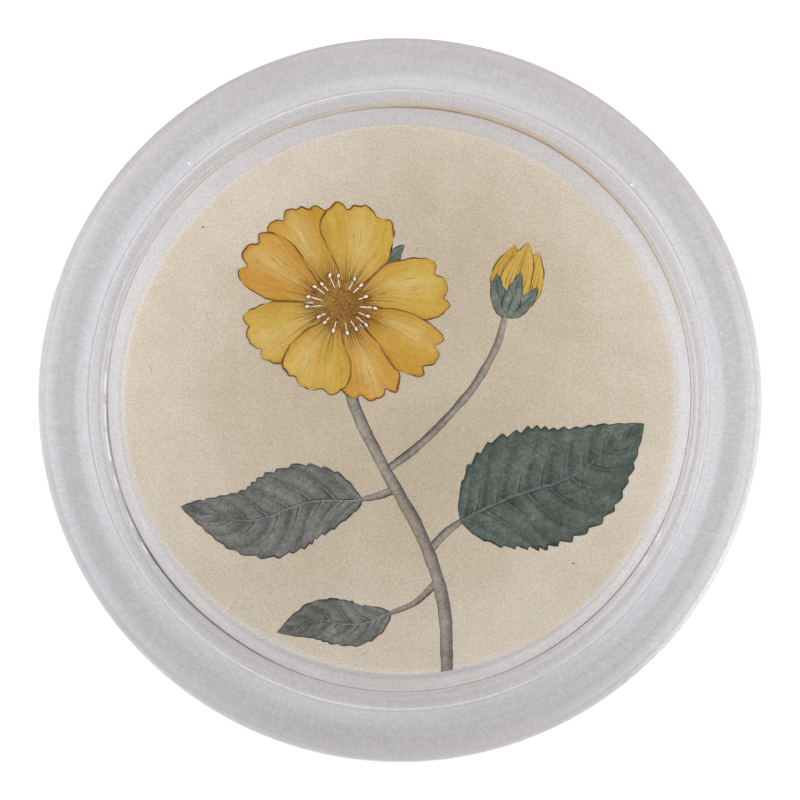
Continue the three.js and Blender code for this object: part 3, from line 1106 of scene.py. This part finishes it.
def paint_stem(leaves, ink, knots, widths, seed, layer):
    """A stem: a taupe wash that is darker down one side, and a broken pen line on each side."""
    line = respaced(spline(knots, 120), 0.4)
    gone = distances(line)
    share = gone / gone[-1]
    half = 0.5 * np.interp(share, (0, 1), widths) * (1 + 0.07 * ripple(gone / 14, seed, 1.0))
    aside = normals(line)
    columns = np.linspace(-1, 1, 9)
    points = line[:, None] + aside[:, None] * (columns * half[:, None])[..., None]
    dark = 0.85 * bell(columns, 0.75, 0.5) + 0.25 * bell(columns, -1.0, 0.2)
    tone = mixed(TAUPE, DARK_TAUPE, np.broadcast_to(dark, (len(line), 9)))
    leaves.lay(points, layer, tone, (gone[:, None], columns * half[:, None]), bell(abs(columns), 1, 0.2))
    for side, width, tones in ((1, 0.17, (SOOT, DARK_TAUPE)), (-1, 0.11, (DARK_TAUPE, DARK_TAUPE))):
        edge = line + aside * (side * half)[:, None]
        ink.stroke(edge, width, layer + 1, tones[0], tones[1], seed + 7 + side, (0.02, 0.3))


def paint_bud(petals, leaves, ink):
    """A half-open bud: furled petals in a cup of sepals."""
    base = np.array([16.2, 13.2])
    heading = polar(1, math.radians(72))
    aside = np.array([-heading[1], heading[0]])
    yellows = (YELLOW, GOLD, YELLOW)
    for number, (sway, half) in enumerate(((-1.6, 2.5), (1.7, 2.3), (0.1, 2.4))):
        layer = 5 + 2 * number
        tip = base + heading * (11.4 if number == 2 else 10.4) + aside * sway * 1.15
        spine = [base, base + heading * 5 + aside * sway, tip]
        petal = Leaf(spine, half, 0, 300 + number, 0.9)
        petal.paint(petals, ink, layer, (yellows[number], OCHRE, LEMON), veins=0)
        for line in np.linspace(-0.6, 0.6, 6):
            way = np.linspace(0.35, 0.85, 20)
            ink.stroke(petal.place(way, line), 0.13, layer + 1, BROWN_INK, GOLD, 310 + number, (0.1, 0.8))
    for number, sway in enumerate((-2.5, 2.4, -0.2)):
        tip = base + heading * (6.8 - 0.6 * abs(sway)) + aside * sway * 1.35
        sepal = Leaf([base - heading * 0.6, base + heading * 3 + aside * sway, tip], 1.35, 0, 320 + number)
        sepal.paint(leaves, ink, 11 + 2 * number, (SAGE, DEEP_LEAF, PALE_SLATE), veins=0)


def paint_specks(ink):
    """Specks and fibres that fell on the paper before it was glued down."""
    rng = np.random.default_rng(12)
    for x, y, size in ((-30.0, 26.3, 0.16), (26.4, -24.9, 0.15), (-18.5, -38.0, 0.10), (33.6, 12.4, 0.09)):
        ink.dab((x, y), (size, 0.8 * size), rng.uniform(0, 3), 1, UMBER)
    fibres, reach = 16, 40
    for number in range(fibres):
        radius, angle, turn = reach * math.sqrt(rng.uniform()), rng.uniform(0, 6.3), rng.uniform(0, 6.3)
        start = polar(radius, angle)
        step = rng.uniform(0.4, 1.1) * polar(1, turn)
        bend = 0.3 * rng.uniform(-1, 1) * np.array([-step[1], step[0]])
        line = spline([start, start + step + bend, start + 2 * step], 12)
        ink.stroke(line, 0.08, 1, paint(176, 156, 124), None, number)


def make_painting():
    """The whole print, as three pieces: petals, leaves and ink."""
    petals, leaves, ink = Paint(), Paint(), Paint()
    for knots, widths, seed, layer in STEMS:
        paint_stem(leaves, ink, knots, widths, seed, layer)
    right = Leaf([(9.2, -18.4), (17.5, -14.6), (27, -11.2), (37.2, -3.6)], 9.4, 17, 41, 0.74)
    right.paint(leaves, ink, 5, (LEAF, DEEP_LEAF, SAGE), veins=8, lean=0.17)
    left = Leaf([(-5.8, -15.2), (-14, -15.6), (-23, -18.4), (-33.4, -16.2)], 6.2, 16, 42, 0.78)
    left.paint(leaves, ink, 5, (SLATE, DEEP_SLATE, PALE_SLATE), veins=7, lean=0.19)
    low = Leaf([(-1.4, -32.5), (-6.5, -34.2), (-12.5, -33.6), (-18.8, -35.4)], 3.5, 11, 43, 0.8)
    low.paint(leaves, ink, 5, (SLATE, DEEP_SLATE, PALE_SLATE), veins=5, lean=0.2)
    paint_bloom(petals, leaves, ink)
    paint_bud(petals, leaves, ink)
    paint_specks(ink)
    petals.dry("painted_petals", watercolour("yellow_wash", (*ORANGE, 1.0), 0.35, 0.35, 0.20))
    leaves.dry("painted_leaves", watercolour("grey_green_wash", (*DEEP_SLATE, 1.0), 0.18, 0.55, 0.70))
    ink.dry("ink_lines", watercolour("ink", (*DARK_TAUPE, 1.0), 0.2, 0.3, 0.5))


# ---- The stage ----


def make_stage():
    half_size, drop = 3000.0, 0.02  # the floor lies just under the felt
    corners = [(x * half_size, y * half_size, -drop) for x, y in ((-1, -1), (1, -1), (1, 1), (-1, 1))]
    floor = add_object("floor", corners, [(0, 1, 2, 3)], smooth=False)
    look = Look("pale_floor")
    speckle = look.noise(look.point(), 900, 2)
    tone = look.mix(look.span(speckle, -0.5, 0.5), colour(251, 251, 251), colour(248, 248, 249))
    floor.data.materials.append(look.done(look.surface(Base_Color=tone, Roughness=0.9)))


def make_camera():
    """Straight above, with a long lens, framed so that the coaster is 724 of 800 pixels wide."""
    distance = 0.70
    edge_height = (TOTAL_HEIGHT - ROLL_OUTER_SECTION) * MM  # where the coaster is widest
    frame_width = 2 * OUTER_RADIUS * MM * 800 / 724.4
    data = bpy.data.cameras.new("camera")
    data.sensor_width = 36.0
    data.lens = data.sensor_width * (distance - edge_height) / frame_width
    data.clip_start = 0.05
    data.clip_end = 20.0
    camera = placed("camera", data)
    camera.location = (0.0, 0.0, distance)
    bpy.context.scene.camera = camera


def add_light(name, azimuth, elevation, distance, size, power):
    """A soft square light that faces the coaster. Azimuth 0 is along +X and 90 along +Y."""
    data = bpy.data.lights.new(name, "AREA")
    data.size = size
    data.energy = power
    data.cycles.use_multiple_importance_sampling = False
    light = placed(name, data)
    a, e = math.radians(azimuth), math.radians(elevation)
    place = (math.cos(a) * math.cos(e), math.sin(a) * math.cos(e), math.sin(e))
    light.location = [distance * value for value in place]
    light.rotation_mode = "QUATERNION"
    light.rotation_quaternion = light.location.to_track_quat("Z", "Y")
    light.visible_camera = False
    light.visible_glossy = False
    light.visible_transmission = False


def make_light():
    """A bright room with a dark patch overhead, where the camera is, and windows at the sides."""
    look = Look("room", "worlds")
    x, y, z = look.split(look.add("ShaderNodeTexCoord").outputs["Generated"])
    level = look.math("SQRT", look.math("SUBTRACT", 1.001, look.times(z, z)))
    away = look.math("SUBTRACT", 1.0, look.window(x, y, level, 72, 0.6))
    horizon = look.times(look.span(z, 0.20, 0.62, 1.3, 0.30), away)
    overhead = look.span(z, 0.62, 0.92, 0.0, -0.22)
    panes = look.span(z, 0.66, 0.91, 1.0, 0.0)
    windows = look.total(look.window(x, y, level, -10, 2.0), look.window(x, y, level, 176, 2.0))
    strength = look.total(horizon, overhead, look.times(panes, windows))
    sky = (0.92, 1.0, 1.10, 1.0)
    background = look.add("ShaderNodeBackground", {"Color": sky, "Strength": strength})
    look.add("ShaderNodeOutputWorld", {"Surface": background.outputs[0]})
    look.owner.cycles_visibility.diffuse = False
    look.owner.cycles.sampling_method = "NONE"
    bpy.context.scene.world = look.owner
    elevation, distance, size = 59, 0.15, 0.12
    for name, azimuth, power in (("right", 13, 0.172), ("left", 155, 0.152), ("front", 262, 0.028)):
        add_light(f"lamp_{name}", azimuth, elevation, distance, size, power)
    add_light("ceiling", 90, 90, 1.4, 1.2, 10.0)


make_camera()
make_stage()
make_light()
make_glass()
make_air_seeds()
make_scratches()
make_backing()
make_paper()
make_painting()
make_felt()

scene = bpy.context.scene
scene.view_settings.view_transform = "Standard"
scene.cycles.caustics_reflective = False
scene.cycles.caustics_refractive = False
scene.cycles.max_bounces = 16
scene.cycles.transmission_bounces = 12
scene.cycles.transparent_max_bounces = 16
